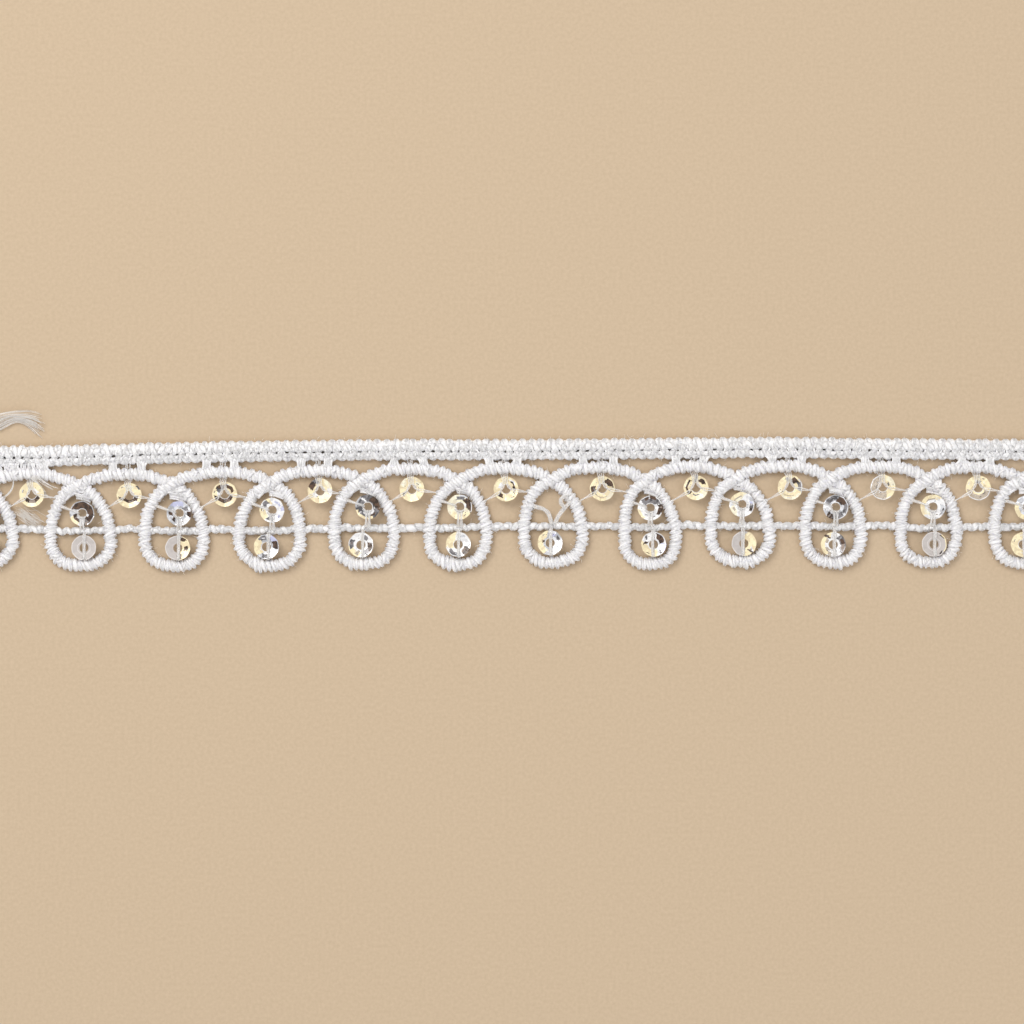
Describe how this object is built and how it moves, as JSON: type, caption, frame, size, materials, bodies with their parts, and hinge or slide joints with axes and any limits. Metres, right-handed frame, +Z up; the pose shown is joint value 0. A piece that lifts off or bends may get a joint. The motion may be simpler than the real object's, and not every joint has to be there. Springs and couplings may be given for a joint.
{
  "type": "sequin trim",
  "caption": "Cut length of white guipure lace trim: a straight corded heading, a scallop cord of crossing arches and drop-shaped loops, a thin bar, and clear cup sequins held on sewing threads.",
  "frame": {"origin": "on the underside of the heading band, midway along the trim", "axes": "+X along the trim, +Y from the scallops to the heading's outer edge, +Z up from the back of the lace to its face"},
  "size_m": [0.131, 0.0158, 0.0016],
  "materials": {
    "white_thread": "lustrous white polyester embroidery thread in close satin stitch",
    "clear_sequin": "clear faceted plastic with a thin pale gold and silver iridescent film, some pieces milky"
  },
  "bodies": {
    "root": {"guipure_lace": "white_thread", "sequin_arch_01": "clear_sequin", "sequin_arch_02": "clear_sequin", "sequin_arch_03": "clear_sequin", "sequin_arch_04": "clear_sequin", "sequin_arch_05": "clear_sequin", "sequin_arch_06": "clear_sequin", "sequin_arch_07": "clear_sequin", "sequin_arch_08": "clear_sequin", "sequin_arch_09": "clear_sequin", "sequin_arch_10": "clear_sequin", "sequin_arch_11": "clear_sequin", "sequin_upper_01": "clear_sequin", "sequin_upper_02": "clear_sequin", "sequin_upper_03": "clear_sequin", "sequin_upper_04": "clear_sequin", "sequin_upper_05": "clear_sequin", "sequin_upper_06": "clear_sequin", "sequin_upper_08": "clear_sequin", "sequin_upper_09": "clear_sequin", "sequin_upper_10": "clear_sequin", "sequin_upper_11": "clear_sequin", "sequin_upper_12": "clear_sequin", "sequin_lower_01": "clear_sequin", "sequin_lower_02": "clear_sequin", "sequin_lower_03": "clear_sequin", "sequin_lower_04": "clear_sequin", "sequin_lower_05": "clear_sequin", "sequin_lower_06": "clear_sequin", "sequin_lower_07": "clear_sequin", "sequin_lower_08": "clear_sequin", "sequin_lower_09": "clear_sequin", "sequin_lower_10": "clear_sequin", "sequin_lower_11": "clear_sequin", "sequin_lower_12": "clear_sequin"}
  },
  "joints": []
}
